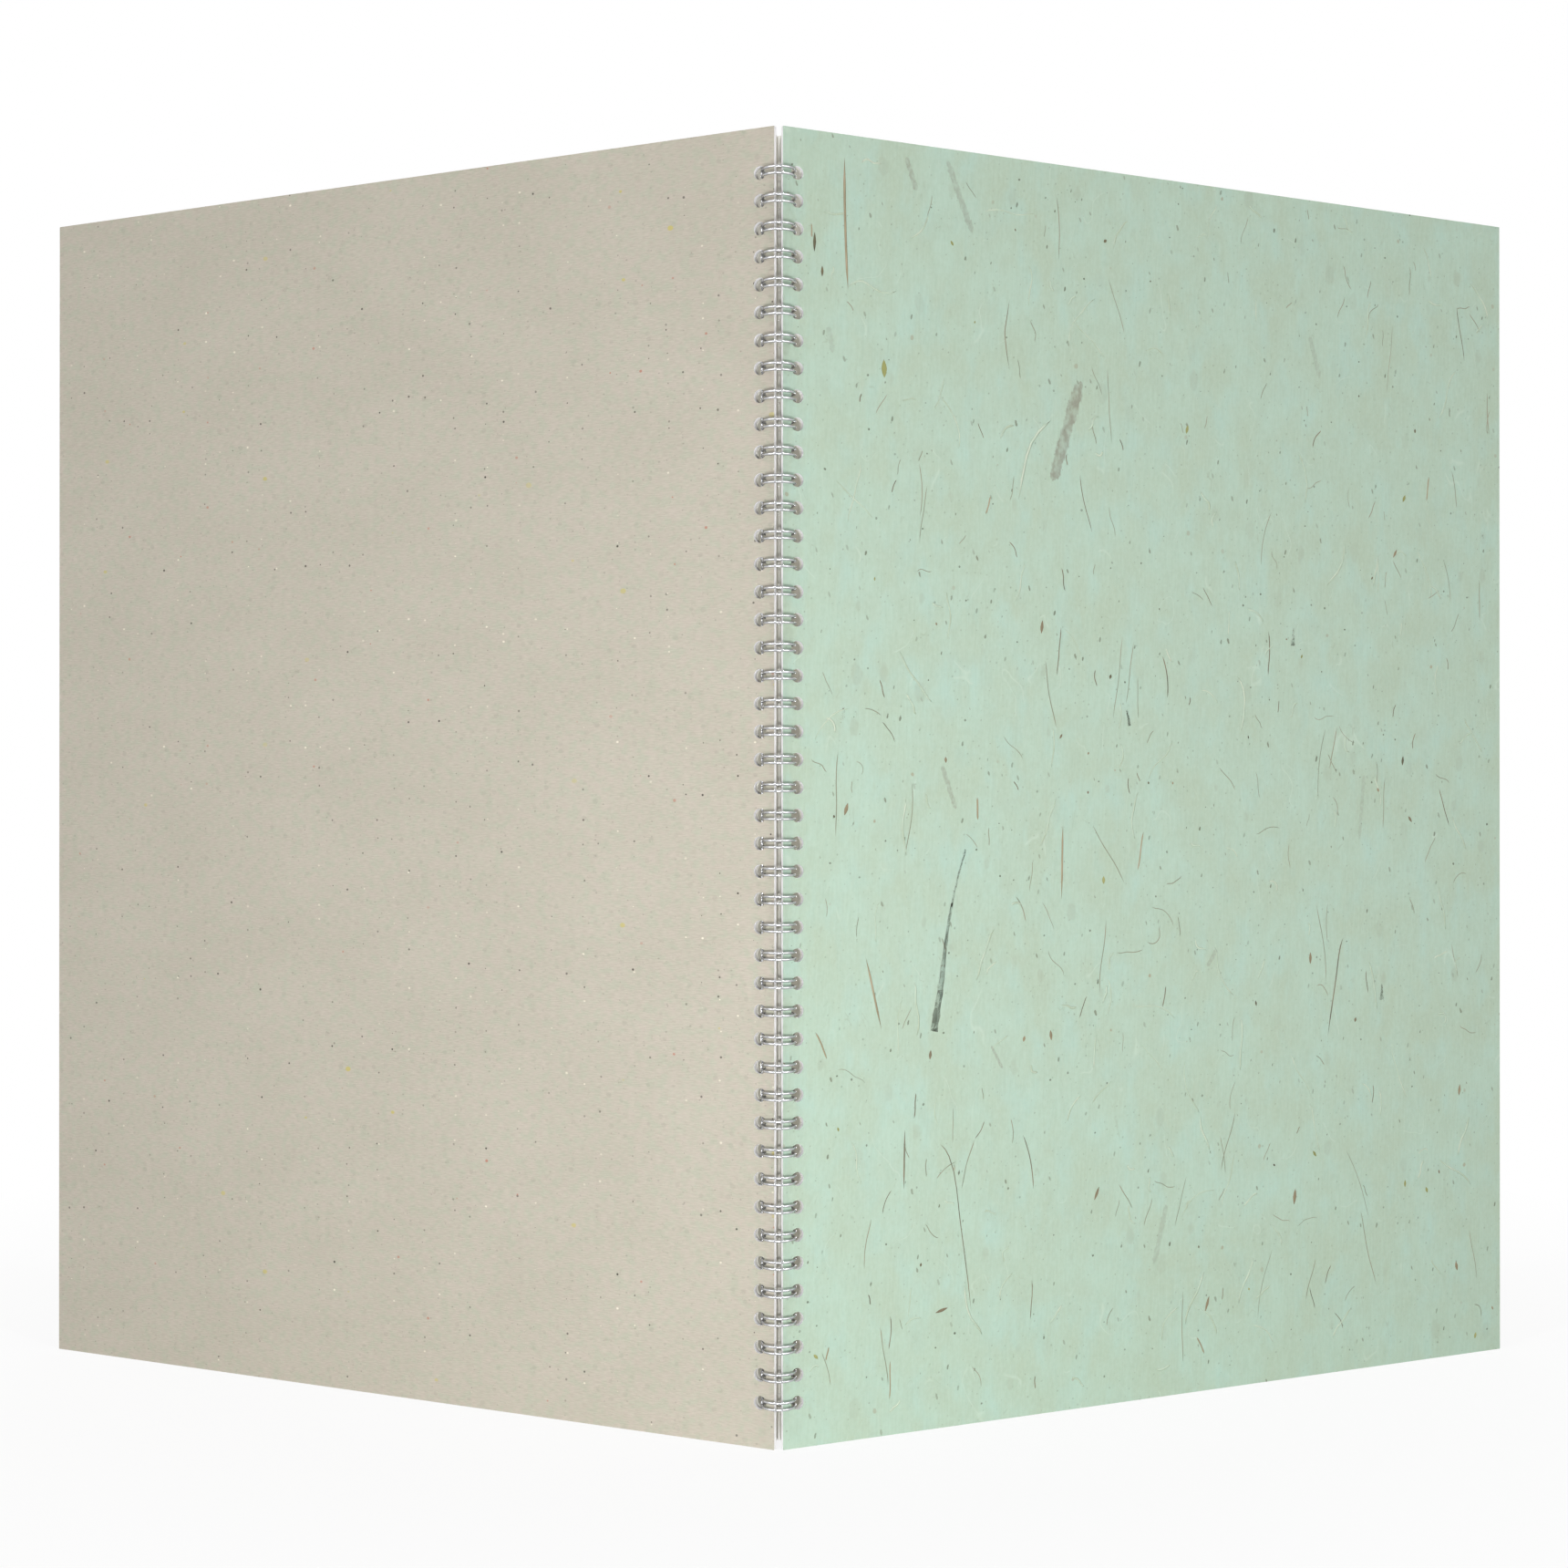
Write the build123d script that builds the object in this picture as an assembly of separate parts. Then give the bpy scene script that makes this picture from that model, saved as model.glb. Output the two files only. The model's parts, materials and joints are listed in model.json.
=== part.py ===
from build123d import *

import os
from math import asin, atan2, cos, degrees, hypot, radians, sin, sqrt

# A large wire-bound sketchbook, standing half open on the tail edges of its covers.
# A single wire comb, bent into paired round loops, runs through every sheet: a greyboard
# back cover, the drawing leaves, and a front cover of board faced with handmade paper.
# Some leaves lie against either cover, and the loose ones stand between them.
#
# Each sheet is laid out in the closed book: +X runs from the spine to the fore edge, +Z
# from tail to head, and -Y from the back cover to the front cover. The axis of the wire
# loops is the Z axis there, and every sheet swings about it.

# --- Leaves (millimetres) ------------------------------------------------------------
leaf_width = 420.0
leaf_height = 594.0
leaf_thickness = 0.14
leaf_air = 0.03  # air between a sheet and the next
leaf_spine_inset = 0.95  # from the loops' axis to a leaf's spine edge
front_leaf_count = 10  # leaves that lie against the front cover
back_leaf_count = 4  # leaves that lie against the back cover

# --- Covers --------------------------------------------------------------------------
front_board_thickness = 1.8
front_paper_thickness = 0.2
back_board_thickness = 2.0
cover_spine_inset = 0.05  # from the loops' axis to a cover's spine edge
head_overhang = 3.0  # cover beyond the leaves, at the head and at the tail
fore_edge_overhang = 2.0
cover_corner_radius = 0.3

# --- Wire binding --------------------------------------------------------------------
loop_pitch = 12.7  # two loops to the inch
wire_diameter = 1.2
wire_pair_spacing = 3.0  # between the centres of a loop's two wires
root_bend_radius = 1.0  # where a wire turns from the seam into its loop
tip_clearance = 0.6  # from a loop's closed tip to the seam it shuts against
binding_play = 2.9  # from the closed stack to the wire's centre line
wire_drop = 0.1  # how far the wire hangs below the holes' centres
cut_end = 1.0  # straight wire left beyond the first and last bend

# --- Holes ---------------------------------------------------------------------------
hole_clearance = 0.3  # least gap between a wire and the wall of its hole
hole_bias = 0.5  # hole centre beyond the middle of the wire's crossings
least_end_margin = 12.0  # least paper left beyond the first and last hole
seam_clearance = 0.3  # between the seam and the sheets on either side of it

# --- Stance --------------------------------------------------------------------------
opening_angle = 130.0  # between the covers' inner faces
loose_leaf_leans = [-13.0, -6.0, -0.2, 0.2, 0.5, 12.0]  # from straight back, towards the back cover

# --- Worked out from the sizes above -------------------------------------------------
wire_radius = wire_diameter / 2
leaf_count = front_leaf_count + len(loose_leaf_leans) + back_leaf_count
leaf_step = leaf_thickness + leaf_air
seam_gap = wire_diameter + 2 * seam_clearance
leaf_block = leaf_count * leaf_step
stack_depth = (
    back_board_thickness + seam_gap + leaf_block + front_board_thickness + front_paper_thickness
)

# Depths are counted from the loops' axis, towards the front cover.
back_board_depth = -stack_depth / 2
seam_depth = back_board_depth + back_board_thickness + seam_gap / 2
last_leaf_depth = back_board_depth + back_board_thickness + seam_gap
front_board_depth = last_leaf_depth + leaf_block
front_paper_depth = front_board_depth + front_board_thickness

loop_radius = stack_depth / 2 + binding_play
cover_width = leaf_spine_inset + leaf_width + fore_edge_overhang - cover_spine_inset
cover_height = leaf_height + 2 * head_overhang

# A wire crosses the outermost face nearest to the axis, and at the greatest slant.
outer_crossing = sqrt(loop_radius**2 - (stack_depth / 2) ** 2)
slanted_wire_radius = wire_radius * loop_radius / outer_crossing
farthest_crossing = (loop_radius - outer_crossing) / 2 + hole_bias
hole_inset = outer_crossing + farthest_crossing
hole_radius = (
    hypot(farthest_crossing, wire_pair_spacing / 2 + wire_drop) + slanted_wire_radius + hole_clearance
)
loop_count = int((leaf_height - 2 * least_end_margin) / loop_pitch) + 1
first_hole_height = (cover_height - (loop_count - 1) * loop_pitch) / 2

back_direction = 90 + opening_angle / 2
front_direction = 90 - opening_angle / 2


def hole_heights():
    """Heights of the hole centres, from tail to head."""
    return [first_hole_height + i * loop_pitch for i in range(loop_count)]


def sheet(width, height, thickness, spine_inset, tail_height, depth, corner_radius=0.0):
    """One punched sheet of the closed book, its back face at the given depth."""
    plane = Plane(origin=(0, -depth, 0), x_dir=(1, 0, 0), z_dir=(0, -1, 0))
    centre = (spine_inset + width / 2, tail_height + height / 2)
    if corner_radius > 0:
        outline = RectangleRounded(width, height, corner_radius)
    else:
        outline = Rectangle(width, height)
    holes = [Pos(hole_inset, z) * Circle(hole_radius) for z in hole_heights()]
    face = Pos(*centre) * outline - holes
    return extrude(plane * face, thickness)


def leaf(number):
    """A drawing leaf, numbered from the front cover."""
    depth = last_leaf_depth + (leaf_count - number) * leaf_step
    return sheet(leaf_width, leaf_height, leaf_thickness, leaf_spine_inset, head_overhang, depth)


def leaf_direction(number):
    """Which way a leaf points in the open book."""
    loose = number - front_leaf_count - 1
    if loose < 0:
        return front_direction
    if loose < len(loose_leaf_leans):
        return 90 + loose_leaf_leans[loose]
    return back_direction


def cover_sheet(thickness, depth):
    """A sheet as large as the covers."""
    return sheet(
        cover_width, cover_height, thickness, cover_spine_inset, 0, depth, cover_corner_radius
    )


def on_loop(angle, height):
    """A point on the loops' round centre line, at an angle from the sheets' direction."""
    turn = radians(angle)
    return Vector(loop_radius * cos(turn), -loop_radius * sin(turn), height)


def along_loop(angle):
    """The direction of the round centre line there, towards the front cover."""
    turn = radians(angle)
    return Vector(-sin(turn), -cos(turn), 0)


def loop_angle(depth, reach):
    """Where the centre line starts so that a point this far back along its tangent has this depth."""
    return degrees(asin(depth / hypot(loop_radius, reach)) + atan2(reach, loop_radius))


def wire_loop(height):
    """Centre line of one loop, from its lower root bend over the tip to its upper root bend."""
    half = wire_pair_spacing / 2
    up = Vector(0, 0, 1)
    root_angle = loop_angle(seam_depth, root_bend_radius)
    tip_angle = loop_angle(seam_depth - tip_clearance, -half) + 360
    start = along_loop(root_angle)
    bend = root_bend_radius
    low_root = on_loop(root_angle, height - half)
    high_root = on_loop(root_angle, height + half)
    low_end = on_loop(tip_angle, height - half)
    high_end = on_loop(tip_angle, height + half)
    middle = (root_angle + tip_angle) / 2
    tip = on_loop(tip_angle, height) + along_loop(tip_angle) * half
    seam_below = low_root - start * bend - up * bend
    seam_above = high_root - start * bend + up * bend
    return [
        TangentArc(seam_below, low_root, tangent=up),
        ThreePointArc(low_root, on_loop(middle, height - half), low_end),
        ThreePointArc(low_end, tip, high_end),
        ThreePointArc(high_end, on_loop(middle, height + half), high_root),
        TangentArc(high_root, seam_above, tangent=-start),
    ]


def binding_wire():
    """The whole comb as one bent wire: seam, loop, seam, loop, from tail to head."""
    up = Vector(0, 0, 1)
    edges = []
    for z in hole_heights():
        loop = wire_loop(z - wire_drop)
        below = edges[-1] @ 1 if edges else loop[0] @ 0 - up * cut_end
        edges += [Line(below, loop[0] @ 0), *loop]
    edges.append(Line(edges[-1] @ 1, edges[-1] @ 1 + up * cut_end))
    path = Wire([edge.edge() for edge in edges])
    section = Plane(origin=path @ 0, z_dir=path % 0) * Circle(wire_radius)
    return sweep(section, path=path)


def build():
    """Every piece by name, the book standing with its loops' axis on the Z axis."""
    with_back = Rot(0, 0, back_direction)
    with_front = Rot(0, 0, front_direction)
    pieces = {
        "binding_wire": with_back * binding_wire(),
        "back_cover_board": with_back * cover_sheet(back_board_thickness, back_board_depth),
        "front_cover_board": with_front * cover_sheet(front_board_thickness, front_board_depth),
        "front_cover_paper": with_front * cover_sheet(front_paper_thickness, front_paper_depth),
    }
    for number in range(1, leaf_count + 1):
        pieces[f"leaf_{number:02d}"] = Rot(0, 0, leaf_direction(number)) * leaf(number)
    return pieces


pieces = build()

# The origin is on the floor, in the middle of the standing book.
box = Compound(list(pieces.values())).bounding_box()
to_origin = Pos(-(box.min.X + box.max.X) / 2, -(box.min.Y + box.max.Y) / 2, -box.min.Z)

os.makedirs("parts", exist_ok=True)
for name, piece in pieces.items():
    export_step(to_origin * piece, f"parts/{name}.step")
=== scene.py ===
import json
import random
from math import asin, atan2, cos, hypot, pi, radians, sin

import bmesh
import bpy
from mathutils import Matrix, Vector


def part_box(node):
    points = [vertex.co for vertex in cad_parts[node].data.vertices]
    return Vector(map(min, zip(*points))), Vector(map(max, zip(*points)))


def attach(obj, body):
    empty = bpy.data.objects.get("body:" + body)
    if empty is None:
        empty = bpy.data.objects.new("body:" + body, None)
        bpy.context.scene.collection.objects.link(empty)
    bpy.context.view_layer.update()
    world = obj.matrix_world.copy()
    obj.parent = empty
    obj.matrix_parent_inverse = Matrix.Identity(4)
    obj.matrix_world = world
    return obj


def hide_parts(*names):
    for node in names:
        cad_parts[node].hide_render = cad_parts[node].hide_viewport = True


# A large wire-bound sketchbook standing half open: a greyboard back cover, drawing leaves,
# and a front cover faced with mint handmade paper full of plant fibres. Sizes are in metres.

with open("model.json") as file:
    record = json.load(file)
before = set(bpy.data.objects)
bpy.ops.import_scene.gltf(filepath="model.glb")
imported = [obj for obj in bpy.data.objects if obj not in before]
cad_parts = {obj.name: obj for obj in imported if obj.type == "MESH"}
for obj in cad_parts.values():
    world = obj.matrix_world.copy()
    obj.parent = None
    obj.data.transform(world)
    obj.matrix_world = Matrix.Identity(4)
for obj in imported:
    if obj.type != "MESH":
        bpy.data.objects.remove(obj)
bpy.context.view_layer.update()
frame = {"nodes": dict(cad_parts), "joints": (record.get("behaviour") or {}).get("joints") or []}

MM = 0.001

# --- The book's stance ---------------------------------------------------------------
opening_angle = radians(130)
back_direction = pi / 2 + opening_angle / 2
front_direction = pi / 2 - opening_angle / 2
hinge = Vector(frame["joints"][0]["pos_m"])
back_place = Matrix.Translation(hinge) @ Matrix.Rotation(back_direction, 4, "Z")
front_place = Matrix.Translation(hinge) @ Matrix.Rotation(front_direction, 4, "Z")
cover_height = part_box("front_cover_paper")[1].z
cover_reach = 422.95 * MM  # from the loops' axis to a cover's fore edge
front_face_depth = 4.6 * MM  # from the loops' axis to the front cover's outer face

# --- Wire comb -----------------------------------------------------------------------
loop_count = 45
loop_pitch = 12.7 * MM
loop_radius = 7.5 * MM
wire_radius = 0.6 * MM
half_pair = 1.5 * MM  # half the spacing of a loop's two wires
root_bend = 1.0 * MM
cut_end = 1.0 * MM
seam_depth = -1.7 * MM  # from the loops' axis, towards the back cover
seam_length = loop_pitch - 2 * half_pair - 2 * root_bend - cut_end  # straight, above each loop
tip_clearance = 0.6 * MM
wire_sides = 12
root_bend_steps = 4
ring_steps = 40
tip_steps = 8
UP = Vector((0, 0, 1))


def on_loop(angle, height):
    """A point on the loops' centre line, at an angle from the sheets' direction."""
    return Vector((loop_radius * cos(angle), -loop_radius * sin(angle), height))


def along_loop(angle):
    """The direction of the centre line there, towards the front cover."""
    return Vector((-sin(angle), -cos(angle), 0))


def loop_angle(depth, reach):
    """The angle whose tangent, followed back as far as reach, comes to this depth."""
    return asin(depth / hypot(loop_radius, reach)) + atan2(reach, loop_radius)


def verts_in(geometry):
    """The vertices among the parts that an operator returns."""
    return [part for part in geometry if isinstance(part, bmesh.types.BMVert)]


def bend_wire(bm, rim, centre, axis, angle, steps):
    """Carries the wire's open rim round a bend, and returns the rim it ends in."""
    bent = bmesh.ops.spin(bm, geom=rim, cent=centre, axis=axis, angle=angle, steps=steps)
    return bent["geom_last"]


def run_wire(bm, rim, length):
    """Carries the wire's open rim straight up, and returns the rim it ends in."""
    run = bmesh.ops.spin(bm, geom=rim, axis=UP, dvec=UP * length, angle=0, steps=1)
    return run["geom_last"]


def bend_one_loop(bm, height):
    """One loop of the comb with the seam above it, from the rim below its lower root bend."""
    root = loop_angle(seam_depth, root_bend)
    tip = loop_angle(seam_depth - tip_clearance, -half_pair) + 2 * pi
    start = along_loop(root)
    sideways = UP.cross(start)
    low_root = on_loop(root, height - half_pair)
    high_root = on_loop(root, height + half_pair)
    low_bend = low_root - UP * root_bend
    foot = low_bend - start * root_bend - UP * cut_end
    rim = bmesh.ops.create_circle(
        bm, segments=wire_sides, radius=wire_radius, matrix=Matrix.Translation(foot)
    )["verts"]
    rim = rim + list(bm.edges)
    rim = run_wire(bm, rim, cut_end)
    rim = bend_wire(bm, rim, low_bend, sideways, pi / 2, root_bend_steps)
    rim = bend_wire(bm, rim, (0, 0, 0), -UP, tip - root, ring_steps)
    rim = bend_wire(bm, rim, on_loop(tip, height), along_loop(tip).cross(UP), pi, tip_steps)
    rim = bend_wire(bm, rim, (0, 0, 0), UP, tip - root, ring_steps)
    high_bend = high_root + UP * root_bend
    rim = bend_wire(bm, rim, high_bend, sideways, pi / 2, root_bend_steps)
    run_wire(bm, rim, seam_length)


def make_wire_comb():
    """The whole comb as one bent wire, each loop welded to the seam of the loop below."""
    bm = bmesh.new()
    first_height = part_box("binding_wire")[0].z + cut_end + root_bend + half_pair
    bend_one_loop(bm, first_height)
    one_loop = list(bm.verts) + list(bm.edges) + list(bm.faces)
    for number in range(1, loop_count):
        copy = bmesh.ops.duplicate(bm, geom=one_loop)["geom"]
        bmesh.ops.translate(bm, verts=verts_in(copy), vec=UP * loop_pitch * number)
    highest = max(v.co.z for v in bm.verts)
    last_rim = [v for v in bm.verts if v.co.z > highest - cut_end / 10]
    bmesh.ops.translate(bm, verts=last_rim, vec=UP * (cut_end - seam_length))
    bmesh.ops.remove_doubles(bm, verts=bm.verts, dist=wire_radius / 20)
    bmesh.ops.holes_fill(bm, edges=bm.edges, sides=wire_sides)
    bmesh.ops.recalc_face_normals(bm, faces=bm.faces)
    for face in bm.faces:
        face.smooth = len(face.verts) == 4
    return finish_piece(bm, "twin_loop_wire", back_place)


def finish_piece(bm, name, place):
    """Turns a laid-out mesh into an object at the origin, with its place in its mesh."""
    bmesh.ops.transform(bm, matrix=place, verts=bm.verts)
    mesh = bpy.data.meshes.new(name)
    bm.to_mesh(mesh)
    bm.free()
    piece = bpy.data.objects.new(name, mesh)
    bpy.context.scene.collection.objects.link(piece)
    return piece


# --- Plant fibres on the front cover (millimetres, across from the spine and up) -----
fibres = random.Random(11)
off_the_holes = 13.0
off_the_edges = 4.0
hair_sides = 4
hair_bends = 4  # in a strewn hair
least_curl = 0.05  # radians in each of them
steps_in_a_bend = 2
seed_half_height = 0.18
seed_taper = 0.6  # share of its width that a seed loses at its points
seed_lean = 0.3
seed_lengths = (1.2, 2.6)  # in widths of the seed
bark_raggedness = 0.1  # share of a strip's width
bark_jag = 0.3  # how far a strip's rungs stray along it
bark_thickness = 0.1
strip_rungs = 14


def on_front(across, up):
    """A point on the front cover's outer face, in the closed book."""
    return Vector((across * MM, -front_face_depth, up * MM))


def towards(heading):
    """The direction on that face that leans this far from straight up."""
    return Vector((sin(heading), 0, cos(heading)))


def on_the_face(verts):
    """Whether a fibre keeps off the holes and inside the cover's edges."""
    across = [v.co.x / MM for v in verts]
    up = [v.co.z / MM for v in verts]
    clear_sides = min(across) > off_the_holes and max(across) < cover_reach / MM - off_the_edges
    return clear_sides and min(up) > off_the_edges and max(up) < cover_height / MM - off_the_edges


def lay_hair(bm, across, up, heading, width, height, bends):
    """A hair carried through bends over the face, closed to a point at both ends.

    Each bend is a length and the angle that the hair turns in it.
    """
    here = on_front(across, up)
    section = Matrix.Diagonal((width * MM / 2, height * MM / 2, 1, 1))
    turned = Matrix.Translation(here) @ Matrix.Rotation(heading, 4, "Y") @ section
    first = bmesh.ops.create_circle(bm, segments=hair_sides, radius=1, matrix=turned)["verts"]
    hair = list(first)
    rim = first + list({edge for vert in first for edge in vert.link_edges})
    for length, turn in bends:
        reach = length * MM / turn
        centre = here + towards(heading + pi / 2) * reach
        spun = bmesh.ops.spin(
            bm, geom=rim, cent=centre, axis=(0, 1, 0), angle=turn, steps=steps_in_a_bend
        )
        rim = spun["geom_last"]
        heading += turn
        here = centre - towards(heading + pi / 2) * reach
        hair += verts_in(rim)
    if not on_the_face(hair):
        linked = {vert for ring in hair for edge in ring.link_edges for vert in edge.verts}
        bmesh.ops.delete(bm, geom=list(linked), context="VERTS")
        return
    foot = sum((vert.co for vert in first), Vector()) / hair_sides
    bmesh.ops.pointmerge(bm, verts=first, merge_co=foot)
    bmesh.ops.pointmerge(bm, verts=verts_in(rim), merge_co=here)


def scatter_hairs(bm, count, lengths, widths, height, lean, curl):
    """Hairs strewn over the face, most of them along its upright grain."""
    for _ in range(count):
        length = fibres.uniform(*lengths)
        width = fibres.uniform(*widths)
        across = fibres.uniform(off_the_holes, cover_reach / MM - off_the_edges)
        up = fibres.uniform(off_the_edges, cover_height / MM - off_the_edges)
        heading = fibres.gauss(0, lean)
        bends = [
            (length / hair_bends, fibres.choice((-1, 1)) * fibres.uniform(least_curl, curl))
            for _ in range(hair_bends)
        ]
        lay_hair(bm, across, up, heading, width, height, bends)


def close_fibres(bm, name, material):
    """The fibres as one piece that rides on the front cover."""
    bmesh.ops.recalc_face_normals(bm, faces=bm.faces)
    for face in bm.faces:
        face.smooth = True
    piece = finish_piece(bm, name, front_place)
    give(piece, material)
    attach(piece, "front_cover")


def make_long_hairs(material):
    """Brown and grey hairs of bark, hair-thin and bent."""
    bm = bmesh.new()
    lay_hair(bm, 119.0, 499.0, -0.22, 0.45, 0.16, [(16, 0.12), (4, 0.3), (14, -0.06)])
    lay_hair(bm, 98.0, 52.0, -0.1, 0.45, 0.16, [(30, -0.06), (30, 0.05), (16, -0.3), (8, -0.5)])
    lay_hair(bm, 62.0, 113.0, 0.0, 0.8, 0.2, [(14, 0.03), (14, -0.03)])
    lay_hair(bm, 308.0, 172.0, 0.16, 0.7, 0.18, [(22, 0.03), (20, -0.05), (10, 0.3)])
    scatter_hairs(bm, 11, (14, 30), (0.4, 0.6), height=0.15, lean=0.2, curl=0.16)
    scatter_hairs(bm, 36, (4, 12), (0.35, 0.6), height=0.14, lean=0.35, curl=0.35)
    close_fibres(bm, "long_hairs", material)


def make_faint_hairs(material):
    """Fine hairs that the paper half hides."""
    bm = bmesh.new()
    scatter_hairs(bm, 42, (16, 42), (0.3, 0.5), height=0.12, lean=0.16, curl=0.14)
    scatter_hairs(bm, 80, (5, 16), (0.3, 0.5), height=0.12, lean=0.35, curl=0.35)
    scatter_hairs(bm, 34, (8, 18), (0.25, 0.45), height=0.12, lean=1.2, curl=0.9)
    close_fibres(bm, "faint_hairs", material)


def make_tan_strands(material):
    """Straight strands of tan straw."""
    bm = bmesh.new()
    lay_hair(bm, 33.0, 528.5, -0.07, 1.2, 0.24, [(20, 0.03), (20, 0.02), (21, 0.03)])
    lay_hair(bm, 42.0, 222.0, 2.88, 1.0, 0.2, [(18, 0.04), (17, -0.03)])
    lay_hair(bm, 148.0, 246.0, 0.03, 1.0, 0.2, [(20, -0.02), (16, 0.03)])
    scatter_hairs(bm, 9, (6, 20), (0.6, 1.0), height=0.18, lean=0.3, curl=0.12)
    close_fibres(bm, "tan_strands", material)


def make_pale_threads(material):
    """Pale threads of pulp pressed half into the paper."""
    bm = bmesh.new()
    lay_hair(bm, 33.0, 530.0, 0.75, 0.9, 0.2, [(6, 0.5), (5, 0.9), (8, -0.3), (9, -0.9)])
    lay_hair(bm, 124.0, 437.0, 0.16, 1.4, 0.2, [(22, 0.1), (14, 0.5), (9, 0.2)])
    scatter_hairs(bm, 90, (10, 30), (0.5, 1.0), height=0.18, lean=0.5, curl=0.5)
    scatter_hairs(bm, 60, (6, 12), (0.6, 1.1), height=0.2, lean=1.5, curl=1.1)
    close_fibres(bm, "pale_threads", material)


def press_seed(bm, across, up, heading, width, length):
    """A seed husk, flattened into the paper and pointed at both ends."""
    seed = bmesh.ops.create_icosphere(bm, subdivisions=2, radius=1)["verts"]
    for vert in seed:
        vert.co.x *= 1 - seed_taper * abs(vert.co.z) ** 1.5
    place = Matrix.Translation(on_front(across, up)) @ Matrix.Rotation(heading, 4, "Y")
    form = Matrix.Diagonal((width * MM / 2, seed_half_height * MM, length * MM / 2, 1))
    bmesh.ops.transform(bm, matrix=place @ form, verts=seed)
    if not on_the_face(seed):
        bmesh.ops.delete(bm, geom=seed, context="VERTS")


def make_seed_husks(name, material, placed, count, widths):
    """Seeds of one kind: the placed ones, and then as many strewn ones as count says."""
    bm = bmesh.new()
    for across, up, heading, width, length in placed:
        press_seed(bm, across, up, heading, width, length)
    for _ in range(count):
        across = fibres.uniform(off_the_holes, cover_reach / MM)
        up = fibres.uniform(0, cover_height / MM)
        width = fibres.uniform(*widths)
        heading = fibres.gauss(0, seed_lean)
        press_seed(bm, across, up, heading, width, width * fibres.uniform(*seed_lengths))
    close_fibres(bm, name, material)


def lay_strip(bm, across, up, heading, length, foot_width, tip_width, bow):
    """A flat strip of bark from its foot up, ragged along its sides and a little bowed."""
    strip = bmesh.ops.create_grid(bm, x_segments=2, y_segments=strip_rungs, size=0.5)["verts"]
    for vert in strip:
        rise = vert.co.y + 0.5
        width = foot_width + (tip_width - foot_width) * rise
        ragged = fibres.uniform(-bark_raggedness, bark_raggedness) * width
        side = vert.co.x * width + ragged + bow * sin(pi * rise)
        along = rise * length + fibres.uniform(-bark_jag, bark_jag)
        vert.co = Vector((side * MM, 0, along * MM))
    place = Matrix.Translation(on_front(across, up)) @ Matrix.Rotation(heading, 4, "Y")
    bmesh.ops.transform(bm, matrix=place, verts=strip)


def make_bark_strips(material):
    """Slivers and strips of dark bark."""
    bm = bmesh.new()
    for across, up, heading, length, foot_width, tip_width, bow in (
        (78.0, 186.0, 0.15, 50.0, 4.2, 1.4, 0.4),
        (85.5, 235.0, 0.26, 37.0, 1.5, 0.8, -0.8),
        (30.0, 331.0, 0.1, 6.0, 2.4, 1.0, 0.3),
        (187.0, 330.0, -0.2, 8.0, 1.6, 0.8, 0.2),
        (286.0, 372.0, 0.05, 9.0, 2.6, 0.7, 0.0),
        (343.0, 190.0, 0.03, 8.0, 2.4, 0.7, 0.0),
    ):
        lay_strip(bm, across, up, heading, length, foot_width, tip_width, bow)
    bmesh.ops.solidify(bm, geom=list(bm.faces), thickness=bark_thickness * MM)
    close_fibres(bm, "bark_strips", material)


# --- Finishes (patterns in millimetres of the sheet) ---------------------------------
right_through = 1000  # so deep that a pattern stays the same through a sheet
paper_gloss = 0.25
spot_sharpness = 2.5
faintest_spot = 0.35  # share of the strongest spot's strength
mark_squareness = 14.0  # how square a long mark's ends are
thinnest_mark = 0.35  # share of full strength where a mark is thin


def shade(red, green, blue):
    """A colour as it looks on a screen, 0 to 255, turned into the renderer's own scale."""
    parts = [channel / 255 for channel in (red, green, blue)]
    return (*[p / 12.92 if p <= 0.04045 else ((p + 0.055) / 1.055) ** 2.4 for p in parts], 1.0)


def empty_tree(owner):
    """The node tree of a material or a world, cleared for nodes of its own."""
    owner.use_nodes = True
    owner.node_tree.nodes.clear()
    return owner.node_tree


def put(tree, socket, value):
    """Feeds a socket from another node's output, or from a plain value."""
    if isinstance(value, bpy.types.NodeSocket):
        tree.links.new(value, socket)
    else:
        socket.default_value = value


def add_node(tree, kind, inputs=None, **settings):
    """A node with its settings, and its inputs by name or number."""
    made = tree.nodes.new("ShaderNode" + kind)
    for key, value in settings.items():
        setattr(made, key, value)
    for key, value in (inputs or {}).items():
        put(tree, made.inputs[key], value)
    return made


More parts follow.
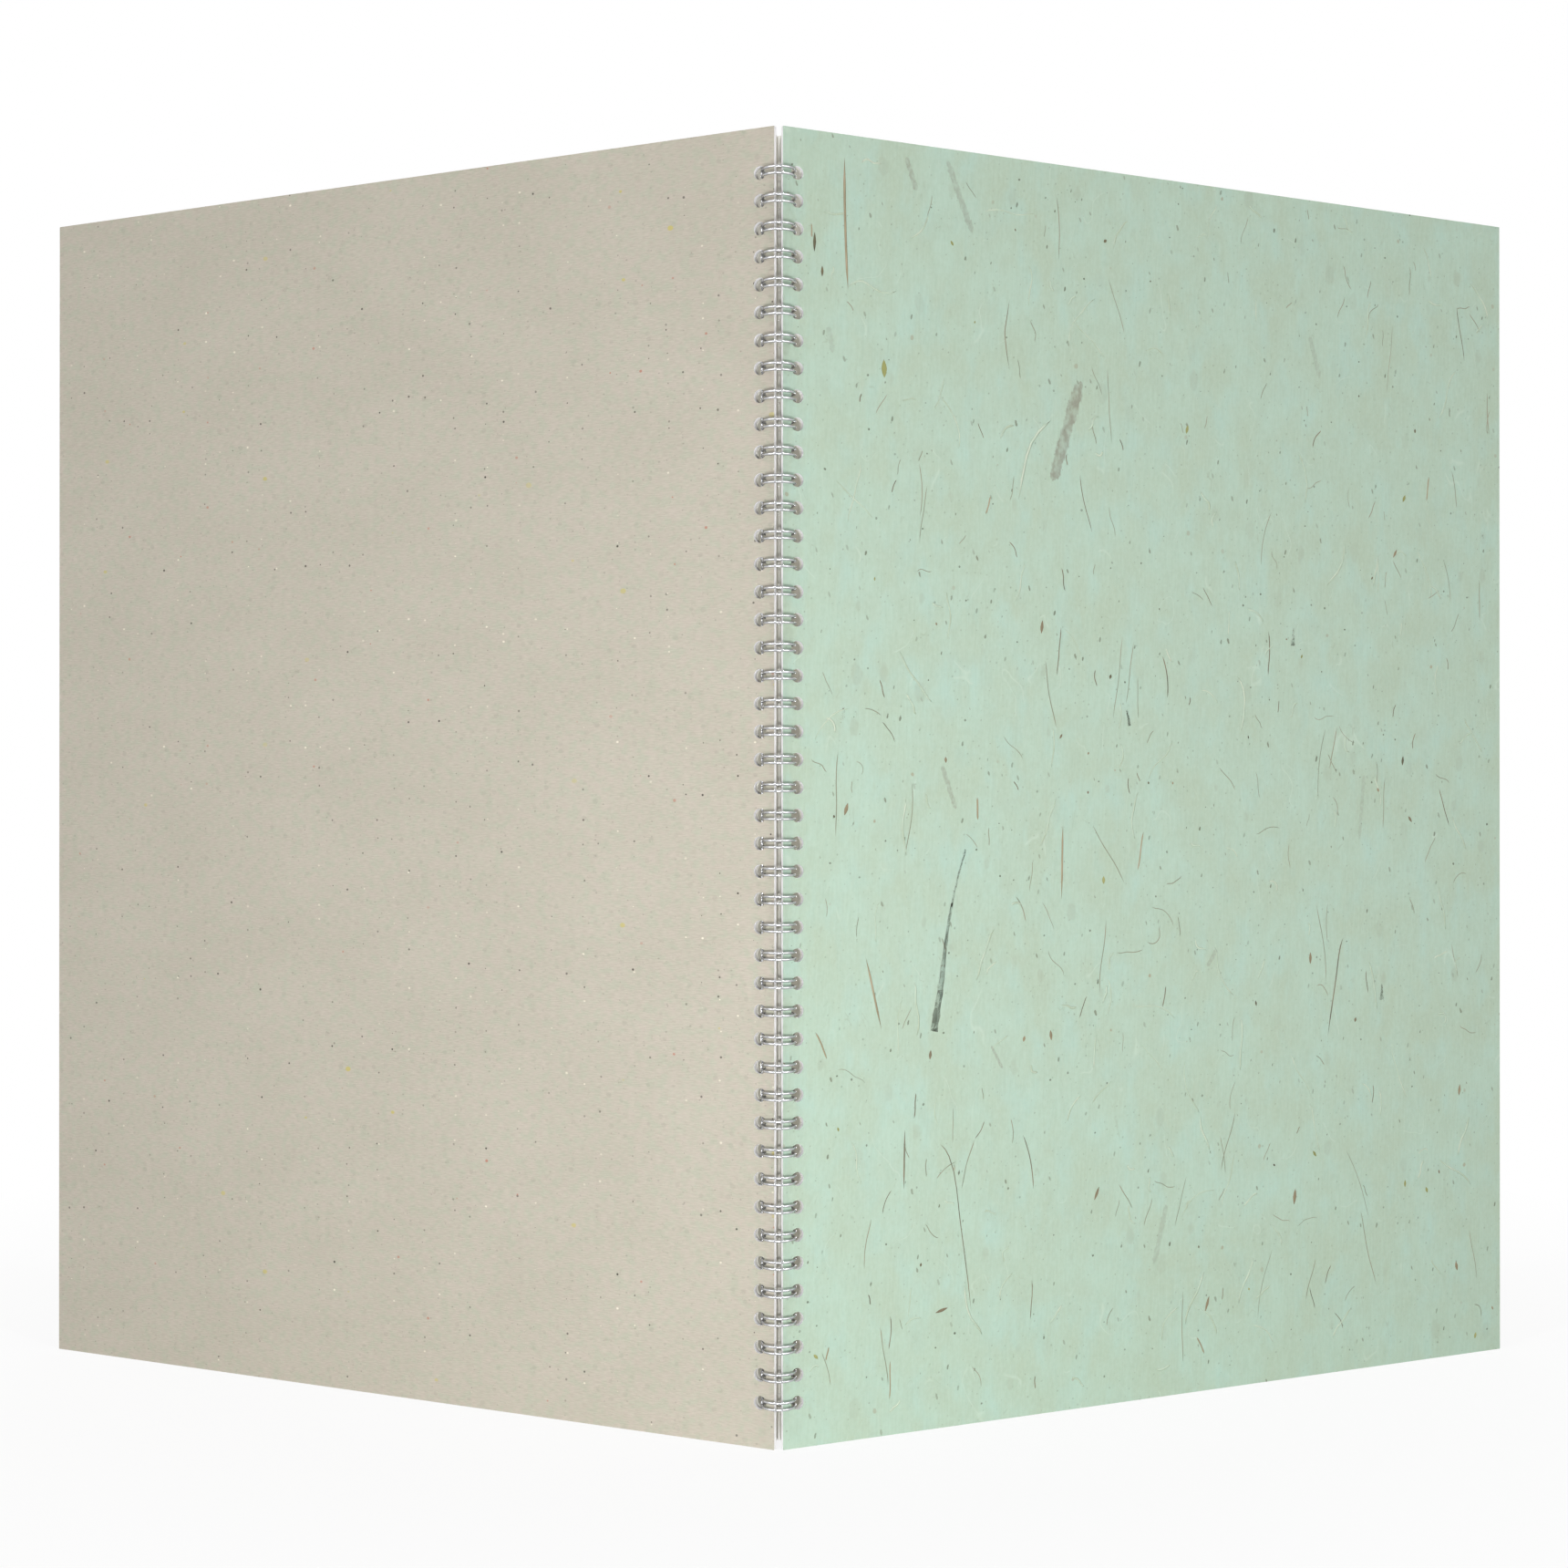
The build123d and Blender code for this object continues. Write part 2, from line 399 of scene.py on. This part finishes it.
class Finish:
    """A material being mixed, with short calls for the nodes that these finishes use."""

    def __init__(self, name, direction):
        self.material = bpy.data.materials.new(name)
        self.tree = empty_tree(self.material)
        self.surface = self.node("BsdfPrincipled")
        self.node("OutputMaterial", {"Surface": self.surface.outputs["BSDF"]})
        coordinates = self.node("TexCoord")
        place = self.node(
            "Mapping",
            {
                "Vector": coordinates.outputs["Object"],
                "Location": hinge,
                "Rotation": (0, 0, direction),
                "Scale": (MM, MM, MM),
            },
            vector_type="TEXTURE",
        )
        # In millimetres, across the sheet from the spine, through it, and up it.
        self.sheet = place.outputs["Vector"]
        turned = self.node(
            "Mapping",
            {"Vector": coordinates.outputs["Normal"], "Rotation": (0, 0, -direction)},
        )
        self.facing = self.node("SeparateXYZ", {"Vector": turned.outputs["Vector"]}).outputs["Y"]

    def node(self, kind, inputs=None, **settings):
        """A node of this material."""
        return add_node(self.tree, kind, inputs, **settings)

    def stretched(self, across, up, through=right_through, lean=0.0):
        """The sheet's coordinates, with a pattern's grain this many millimetres in size."""
        grain = self.node(
            "Mapping",
            {
                "Vector": self.sheet,
                "Rotation": (pi / 2, lean, 0),
                "Scale": (across, up, through),
            },
            vector_type="TEXTURE",
        )
        return grain.outputs["Vector"]

    def noise(self, vector, detail=2.0, roughness=0.5, distortion=0.0):
        """A cloudy value, mostly near 0.5."""
        made = self.node(
            "TexNoise",
            {
                "Vector": vector,
                "Scale": 1.0,
                "Detail": detail,
                "Roughness": roughness,
                "Distortion": distortion,
            },
        )
        return made.outputs["Fac"]

    def math(self, operation, *values, clamp=False):
        """The outcome of one step of arithmetic."""
        inputs = dict(enumerate(values))
        return self.node("Math", inputs, operation=operation, use_clamp=clamp).outputs[0]

    def between(self, value, low, high, start=0.0, end=1.0):
        """Start below low, end above high, and a straight slope from one to the other."""
        made = self.node(
            "MapRange",
            {"Value": value, "From Min": low, "From Max": high, "To Min": start, "To Max": end},
            clamp=True,
        )
        return made.outputs["Result"]

    def mix(self, share, first, second):
        """The first colour, turning into the second as share goes from 0 to 1."""
        # The node's inputs for two colours are its seventh and eighth.
        return self.node("Mix", {0: share, 6: first, 7: second}, data_type="RGBA").outputs[2]

    def stain(self, body, share, strength, colour):
        """The body's colour, with some of another colour over it where share is high."""
        return self.mix(self.math("MULTIPLY", share, strength), body, colour)

    def spots(self, across, up, presence, size, warp=0.1, lean=0.0):
        """Ragged spots that differ in size and strength; size is a share of their spacing."""
        cells = self.node(
            "TexVoronoi",
            {
                "Vector": self.stretched(across, up, lean=lean),
                "Scale": 1.0,
                "Randomness": 1.0,
            },
            voronoi_dimensions="2D",
        )
        traits = self.node("SeparateColor", {"Color": cells.outputs["Color"]})
        wander = self.noise(self.stretched(across * 0.2, across * 0.2))
        edge = self.math("MULTIPLY_ADD", wander, warp, cells.outputs["Distance"])
        least, most = size * 0.5 + warp / 2, size * 1.5 + warp / 2
        reach = self.between(traits.outputs[2], 0, 1, least, most)
        inside = self.math("SUBTRACT", reach, edge)
        spot = self.math("MULTIPLY", inside, spot_sharpness / size, clamp=True)
        chosen = self.math("LESS_THAN", traits.outputs[0], presence)
        strength = self.between(traits.outputs[1], 0, 1, faintest_spot, 1)
        return self.math("MULTIPLY", self.math("MULTIPLY", spot, chosen), strength)

    def threads(self, across, up, width, presence):
        """Thin wandering threads, along the level lines of a slow noise, broken by another."""
        slow = self.noise(self.stretched(across, up), detail=1.5, distortion=0.4)
        offset = self.math("ABSOLUTE", self.math("SUBTRACT", slow, 0.5))
        line = self.between(offset, 0.0, width, 1.0, 0.0)
        broken = self.noise(self.stretched(across * 0.7, up * 0.7), detail=1.0)
        kept = self.between(broken, 1 - presence, 1.04 - presence)
        return self.math("MULTIPLY", line, kept)

    def mark(self, across, up, lean, width, length, ragged=1.8):
        """One long mark in the sheet, ragged at its edge and patchy inside."""
        local = self.node(
            "Mapping",
            {
                "Vector": self.sheet,
                "Location": (across, 0, up),
                "Rotation": (0, lean, 0),
                "Scale": (width / 2, right_through, length / 2),
            },
            vector_type="TEXTURE",
        )
        parts = self.node("SeparateXYZ", {"Vector": local.outputs["Vector"]})
        side = self.math("ABSOLUTE", parts.outputs["X"])
        end = self.math("POWER", self.math("ABSOLUTE", parts.outputs["Z"]), mark_squareness)
        grain = self.stretched(width * 0.3, width * 0.8)
        wander = self.noise(grain, detail=4.0, roughness=0.65)
        edge = self.math("MULTIPLY_ADD", wander, ragged, self.math("ADD", side, end))
        patchy = self.noise(self.stretched(width * 0.5, width * 0.8))
        inside = self.between(edge, 0.75 + ragged / 2, 1.0 + ragged / 2, 1.0, 0.0)
        strength = self.between(patchy, 0.35, 0.6, thinnest_mark, 1.0)
        return self.math("MULTIPLY", inside, strength)

    def bump(self, height, depth):
        """Relief as deep as this where height is 1."""
        relief = self.node("Bump", {"Height": height, "Distance": depth, "Strength": 1.0})
        self.set(Normal=relief.outputs["Normal"])

    def set(self, **sockets):
        """Feeds the surface's own sockets, their names written with underscores."""
        for key, value in sockets.items():
            put(self.tree, self.surface.inputs[key.replace("_", " ")], value)


def cut_edge_share(finish):
    """1 on the cut edges and hole walls of a sheet, 0 on its two faces."""
    flat = finish.math("ABSOLUTE", finish.facing)
    return finish.between(flat, 0.4, 0.6, 1.0, 0.0)


def mix_mint_paper():
    """Handmade paper: clouded mint with an upright grain, dark flecks and strips of bark."""
    f = Finish("mint_handmade_paper", front_direction)
    clouds = f.noise(f.stretched(24, 40), detail=4.0, roughness=0.6)
    body = f.mix(f.between(clouds, 0.36, 0.64), shade(180, 203, 186), shade(178, 195, 174))
    blue = f.noise(f.stretched(13, 28), detail=3.0)
    body = f.mix(f.between(blue, 0.5, 0.7, 0.0, 0.6), body, shade(176, 205, 193))
    patches = f.noise(f.stretched(8, 13), detail=4.0, roughness=0.7)
    body = f.mix(f.between(patches, 0.42, 0.7, 0.0, 0.45), body, shade(175, 191, 172))
    streaks = f.noise(f.stretched(1.0, 13, lean=0.04), detail=2.0)
    body = f.mix(f.between(streaks, 0.5, 0.74, 0.0, 0.28), body, shade(166, 187, 167))
    body = f.mix(f.between(streaks, 0.48, 0.26, 0.0, 0.24), body, shade(188, 209, 193))
    pulp = f.noise(f.stretched(1.6, 2.6), detail=3.0, roughness=0.7)
    body = f.mix(f.between(pulp, 0.45, 0.75, 0.0, 0.4), body, shade(190, 209, 194))
    body = f.mix(f.between(pulp, 0.45, 0.2, 0.0, 0.3), body, shade(168, 187, 169))
    pale = f.threads(26, 40, 0.008, 0.42)
    body = f.stain(body, pale, 0.5, shade(198, 214, 198))
    fine = f.threads(9, 22, 0.008, 0.36)
    body = f.stain(body, fine, 0.4, shade(156, 168, 146))
    smudges = f.spots(17, 30, 0.3, 0.13, 0.14)
    body = f.stain(body, smudges, 0.25, shade(158, 162, 142))
    dust = f.spots(3.4, 4.4, 0.3, 0.09, lean=0.5)
    body = f.stain(body, dust, 0.5, shade(126, 138, 116))
    flecks = f.spots(7.0, 17.0, 0.16, 0.06, lean=0.22)
    body = f.stain(body, flecks, 0.8, shade(92, 94, 72))
    leaning = f.spots(8.0, 19.0, 0.18, 0.06, lean=-0.3)
    body = f.stain(body, leaning, 0.7, shade(108, 106, 84))
    grit = f.spots(8.0, 8.5, 0.1, 0.055, lean=0.3)
    body = f.stain(body, grit, 0.85, shade(82, 84, 66))
    rust = f.spots(22, 26, 0.12, 0.035)
    body = f.stain(body, rust, 0.6, shade(156, 134, 104))
    # Broad strips of bark under the surface.
    for across, up, lean, width, length, strength in (
        (151, 472, 0.31, 6.5, 52, 0.6),
        (66, 586, -0.35, 3.0, 16, 0.4),
        (92, 578, -0.4, 3.4, 36, 0.35),
        (24, 505, -0.2, 3.0, 12, 0.2),
        (86, 300, -0.35, 2.6, 22, 0.35),
        (112, 172, -0.5, 1.6, 13, 0.4),
        (236, 215, 0.6, 2.4, 10, 0.3),
        (330, 290, 0.1, 2.4, 34, 0.2),
        (300, 520, -0.3, 3.0, 22, 0.22),
        (205, 80, 0.25, 3.2, 30, 0.25),
    ):
        bark = f.mark(across, up, lean, width, length)
        body = f.stain(body, bark, strength, shade(126, 112, 100))
    ends = cut_edge_share(f)
    f.set(Base_Color=f.mix(ends, body, shade(214, 226, 216)))
    f.set(Roughness=f.between(patches, 0.3, 0.7, 0.82, 0.95))
    f.set(Specular_IOR_Level=paper_gloss)
    relief = f.math("ADD", f.math("MULTIPLY", pale, 0.6), f.math("MULTIPLY", pulp, 0.5))
    relief = f.math("ADD", relief, f.math("MULTIPLY", grit, 0.3))
    f.bump(relief, 0.12 * MM)
    return f.material


def mix_board(name, direction, face, green, pink, edge):
    """Grey board pressed from waste paper: soft mottling, cross grain and stray specks."""
    f = Finish(name, direction)
    mottle = f.noise(f.stretched(6.0, 5.0), detail=3.0, roughness=0.6)
    body = f.mix(f.between(mottle, 0.38, 0.5, 1.0, 0.0), face, green)
    body = f.mix(f.between(mottle, 0.52, 0.66), body, pink)
    clouds = f.noise(f.stretched(60, 40), detail=3.0)
    body = f.mix(f.between(clouds, 0.35, 0.65, 0.0, 0.12), body, shade(160, 155, 138))
    grain = f.noise(f.stretched(3.6, 0.5), detail=2.0)
    body = f.mix(f.between(grain, 0.5, 0.78, 0.0, 0.35), body, shade(214, 209, 194))
    body = f.mix(f.between(grain, 0.5, 0.25, 0.0, 0.35), body, shade(166, 159, 141))
    fibre = f.threads(7, 5, 0.02, 0.4)
    body = f.stain(body, fibre, 0.25, shade(150, 144, 126))
    dull = f.spots(7.0, 6.0, 0.4, 0.16, 0.16)
    body = f.stain(body, dull, 0.22, shade(146, 142, 128))
    soft_specks = f.spots(4.2, 3.4, 0.22, 0.1, 0.1)
    body = f.stain(body, soft_specks, 0.4, shade(126, 120, 108))
    specks = f.spots(9.0, 9.0, 0.2, 0.05, 0.03)
    body = f.stain(body, specks, 0.95, shade(66, 60, 56))
    white = f.spots(9.0, 7.0, 0.1, 0.06, 0.05)
    body = f.stain(body, white, 0.9, shade(234, 228, 212))
    red = f.spots(17.0, 15.0, 0.08, 0.04, 0.03)
    body = f.stain(body, red, 0.8, shade(186, 122, 104))
    yellow = f.spots(26.0, 20.0, 0.08, 0.05, 0.05)
    body = f.stain(body, yellow, 0.8, shade(198, 186, 104))
    # Cut edges and hole walls take the near-white edge colour. They are pale edges, painted
    # lighter still as painted light, to stand in for the light on the edges at the spine and
    # inside the holes.
    f.set(Base_Color=f.mix(cut_edge_share(f), body, edge))
    f.set(Roughness=f.between(grain, 0.3, 0.7, 0.8, 0.95))
    f.set(Specular_IOR_Level=paper_gloss)
    f.bump(f.math("ADD", f.math("MULTIPLY", grain, 0.6), mottle), 0.08 * MM)
    return f.material


def mix_drawing_paper(name, direction):
    """Warm white cartridge paper with a fine tooth."""
    f = Finish(name, direction)
    clouds = f.noise(f.stretched(14, 14), detail=3.0)
    body = f.mix(f.between(clouds, 0.35, 0.65), shade(243, 241, 233), shade(238, 236, 226))
    tooth = f.noise(f.stretched(0.7, 0.7), detail=3.0, roughness=0.6)
    body = f.mix(f.between(tooth, 0.5, 0.75, 0.0, 0.25), body, shade(228, 226, 215))
    f.set(Base_Color=body)
    f.set(Roughness=f.between(tooth, 0.3, 0.7, 0.82, 0.93))
    f.set(Specular_IOR_Level=paper_gloss)
    f.bump(tooth, 0.05 * MM)
    return f.material


def mix_plant(name, dark, middle, light):
    """Dried plant stuff, streaked along its length and changing from one fibre to the next."""
    f = Finish(name, front_direction)
    kind = f.noise(f.stretched(11, 17))
    body = f.mix(f.between(kind, 0.38, 0.5), dark, middle)
    body = f.mix(f.between(kind, 0.52, 0.62), body, light)
    streak = f.noise(f.stretched(0.25, 3.0), detail=3.0)
    body = f.mix(f.between(streak, 0.4, 0.7, 0.0, 0.5), body, light)
    f.set(Base_Color=body)
    f.set(Roughness=f.between(streak, 0.3, 0.7, 0.6, 0.85))
    f.bump(streak, 0.04 * MM)
    return f.material


def mix_chrome():
    """Plated wire with faint drawing marks and a little tarnish."""
    f = Finish("chrome_plated_wire", back_direction)
    tarnish = f.noise(f.stretched(4, 4, through=4), detail=3.0)
    body = f.mix(f.between(tarnish, 0.4, 0.7), shade(192, 193, 196), shade(180, 181, 183))
    marks = f.noise(f.stretched(0.15, 2.0, through=0.15))
    f.set(Base_Color=body, Metallic=1.0)
    f.set(Roughness=f.between(marks, 0.3, 0.7, 0.09, 0.18))
    f.bump(marks, 0.004 * MM)
    return f.material


# --- Dressing the frame --------------------------------------------------------------
def give(piece, material):
    """One material for the whole of a piece made here."""
    piece.data.materials.clear()
    piece.data.materials.append(material)


def give_frame(node, material):
    """A better material in every slot of a frame piece."""
    piece = frame["nodes"][node]
    if not piece.data.materials:
        piece.data.materials.append(material)
    for slot in piece.material_slots:
        slot.material = material


wire = make_wire_comb()
give(wire, mix_chrome())
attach(wire, "binding_wire")
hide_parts("binding_wire")

greyboard = mix_board(
    "greyboard_back",
    back_direction,
    face=shade(193, 187, 173),
    green=shade(187, 187, 170),
    pink=shade(196, 187, 175),
    # Near-white cut edges, partly painted light on the edges at the spine and inside the holes.
    edge=shade(248, 247, 248),
)
front_board = mix_board(
    "pale_front_board",
    front_direction,
    face=shade(214, 209, 196),
    green=shade(209, 208, 192),
    pink=shade(217, 209, 198),
    # Near-white cut edges, partly painted light on the edges at the spine and inside the holes.
    edge=shade(249, 248, 249),
)
give_frame("back_cover_board", greyboard)
give_frame("front_cover_board", front_board)
give_frame("front_cover_paper", mix_mint_paper())

drawing_papers = {
    direction: mix_drawing_paper(name, direction)
    for name, direction in (
        ("drawing_paper_front", front_direction),
        ("drawing_paper_loose", pi / 2),
        ("drawing_paper_back", back_direction),
    )
}
for node in frame["nodes"]:
    if node.startswith("leaf_"):
        low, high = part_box(node)
        lie = (Vector(low) + Vector(high)) / 2 - hinge
        points = atan2(lie.y, lie.x)
        nearest = min(drawing_papers, key=lambda direction: abs(direction - points))
        give_frame(node, drawing_papers[nearest])

make_long_hairs(
    mix_plant("dark_hair", shade(98, 98, 82), shade(122, 116, 96), shade(142, 130, 106))
)
make_faint_hairs(
    mix_plant("faint_hair", shade(138, 148, 128), shade(148, 152, 130), shade(158, 150, 128))
)
make_tan_strands(
    mix_plant("tan_straw", shade(150, 138, 110), shade(166, 152, 122), shade(178, 162, 136))
)
make_pale_threads(
    mix_plant("pale_pulp_thread", shade(182, 196, 172), shade(190, 208, 188), shade(202, 213, 193))
)
# A placed seed's numbers are its place across and up, its heading, width and length.
make_seed_husks(
    "dark_seed_husks",
    mix_plant("dark_husk", shade(58, 56, 42), shade(86, 82, 58), shade(110, 100, 72)),
    [
        (15.9, 549, 0.02, 1.6, 9),
        (19.8, 536, 0.0, 1.4, 5),
        (173, 566, 0.9, 1.7, 2.2),
        (176, 354, 0.3, 1.5, 2.4),
        (357, 314, 0.1, 1.6, 5),
    ],
    14,
    (0.6, 1.3),
)
make_seed_husks(
    "brown_seed_husks",
    mix_plant("brown_husk", shade(110, 98, 76), shade(132, 118, 92), shade(152, 136, 108)),
    [
        (32, 290, 0.3, 2.0, 6),
        (76, 175, 0.1, 1.6, 4.5),
        (82, 55, 1.3, 1.6, 7),
        (127, 180, 0.3, 1.6, 3),
        (137, 377, 0.1, 1.8, 6.5),
        (142, 181, -0.1, 1.7, 5),
        (168, 103, 0.4, 1.6, 7),
        (233, 43, 0.3, 1.6, 8),
        (287, 92, 0.1, 2.2, 8),
        (297, 213, 0.0, 1.8, 6),
        (352, 422, 0.5, 1.4, 5),
        (393, 47, -0.2, 2.0, 5),
        (395, 140, 0.1, 1.8, 6),
    ],
    12,
    (0.8, 1.6),
)
make_seed_husks(
    "olive_seed_husks",
    mix_plant("olive_husk", shade(124, 126, 70), shade(142, 144, 84), shade(156, 156, 100)),
    [(51.7, 494, -0.04, 3.0, 8.5), (172, 255, 0.0, 1.8, 4), (358, 451, 0.4, 1.8, 4)],
    12,
    (0.8, 1.8),
)
make_bark_strips(
    mix_plant("dark_bark", shade(70, 60, 48), shade(94, 80, 64), shade(124, 106, 86))
)

# --- Studio (metres and watts) -------------------------------------------------------
WHITE = (1, 1, 1, 1)
floor_half_side = 6.0
floor_paint = (0.85, 0.85, 0.85, 1)
shadow_reach = 0.3  # up to here round the book the floor keeps its shadow
white_from = 0.7  # and from here on it is plain white
glow_by_the_book = 0.88  # share of plain white in the floor there
surroundings_light = 0.13
lamp_aim = (0, 0, cover_height * 0.45)
low_aim = (0, 0, 0.1)
camera_offset = (0.0024, -0.9906, 0.2995)  # from the foot of the spine
camera_pitch = radians(90.12)


def seen_directly(tree):
    """1 for what is seen straight on, in metal or through glass, 0 for light on the book."""
    rays = add_node(tree, "LightPath").outputs
    seen = rays["Is Camera Ray"]
    for kind in ("Is Glossy Ray", "Is Transmission Ray"):
        seen = add_node(tree, "Math", {0: seen, 1: rays[kind]}, operation="MAXIMUM").outputs[0]
    return seen


def make_floor():
    """A plain pale floor that looks white and keeps the book's soft shadow near it."""
    bm = bmesh.new()
    bmesh.ops.create_grid(bm, x_segments=1, y_segments=1, size=floor_half_side)
    floor = finish_piece(bm, "studio_floor", Matrix.Identity(4))
    material = bpy.data.materials.new("white_floor")
    tree = empty_tree(material)
    paint = add_node(tree, "BsdfDiffuse", {"Color": floor_paint})
    glow = add_node(tree, "Emission", {"Color": WHITE, "Strength": 1.0})
    place = add_node(tree, "TexCoord").outputs["Object"]
    distance = add_node(tree, "VectorMath", {0: place}, operation="LENGTH").outputs["Value"]
    fade = add_node(
        tree,
        "MapRange",
        {
            "Value": distance,
            "From Min": shadow_reach,
            "From Max": white_from,
            "To Min": glow_by_the_book,
            "To Max": 1.0,
        },
    )
    factors = {0: seen_directly(tree), 1: fade.outputs["Result"]}
    level = add_node(tree, "Math", factors, operation="MULTIPLY")
    looks = {0: level.outputs[0], 1: paint.outputs[0], 2: glow.outputs[0]}
    mix = add_node(tree, "MixShader", looks)
    add_node(tree, "OutputMaterial", {"Surface": mix.outputs[0]})
    give(floor, material)


def make_surroundings():
    """An even soft light from all round, behind a white background."""
    world = bpy.data.worlds.new("studio")
    bpy.context.scene.world = world
    tree = empty_tree(world)
    soft = add_node(tree, "Background", {"Color": WHITE, "Strength": surroundings_light})
    plain = add_node(tree, "Background", {"Color": WHITE})
    looks = {0: seen_directly(tree), 1: soft.outputs[0], 2: plain.outputs[0]}
    mix = add_node(tree, "MixShader", looks)
    add_node(tree, "OutputWorld", {"Surface": mix.outputs[0]})


def hang_softbox(name, offset, aim, size, power, in_metal_only=False):
    """A soft lamp, its place and its aim counted from the foot of the spine."""
    lamp = bpy.data.lights.new(name, "AREA")
    lamp.shape = "RECTANGLE"
    lamp.size, lamp.size_y = size
    lamp.energy = power
    softbox = bpy.data.objects.new(name, lamp)
    softbox.location = hinge + Vector(offset)
    outlook = Vector(aim) - Vector(offset)
    softbox.rotation_euler = outlook.to_track_quat("-Z", "Y").to_euler()
    softbox.visible_camera = False
    softbox.visible_diffuse = not in_metal_only
    bpy.context.scene.collection.objects.link(softbox)


def set_camera():
    """Level with the middle of the book, straight in front of its spine."""
    lens = bpy.data.cameras.new("camera")
    lens.lens = 50
    lens.sensor_width = 36
    lens.clip_start = 0.01
    lens.clip_end = 100
    camera = bpy.data.objects.new("camera", lens)
    camera.location = hinge + Vector(camera_offset)
    camera.rotation_euler = (camera_pitch, 0, 0)
    bpy.context.scene.collection.objects.link(camera)
    bpy.context.scene.camera = camera


make_floor()
make_surroundings()
for hand, side in (("left", -1), ("right", 1)):
    hang_softbox(f"high_{hand}", (side * 1.47, -1.62, 3.95), lamp_aim, (0.25, 0.25), power=41)
    hang_softbox(f"side_{hand}", (side * 1.9, -1.0, 0.9), lamp_aim, (0.8, 0.8), power=7.8)
    # Shows in the wire as a pale dash on each shoulder of a loop.
    gleam_offset = (side * 1.1, -1.1, 0.35)
    hang_softbox(f"gleam_{hand}", gleam_offset, lamp_aim, (0.8, 0.9), power=7, in_metal_only=True)
hang_softbox("low_front", (0, -0.9, 0.06), low_aim, (0.5, 0.08), power=5.2)
hang_softbox("behind", (0, 1.9, 1.2), lamp_aim, (1.6, 1.0), power=10)
hang_softbox("behind_low", (0, 1.0, 0.06), low_aim, (0.6, 0.1), power=3.5)
set_camera()
bpy.context.scene.view_settings.view_transform = "Standard"
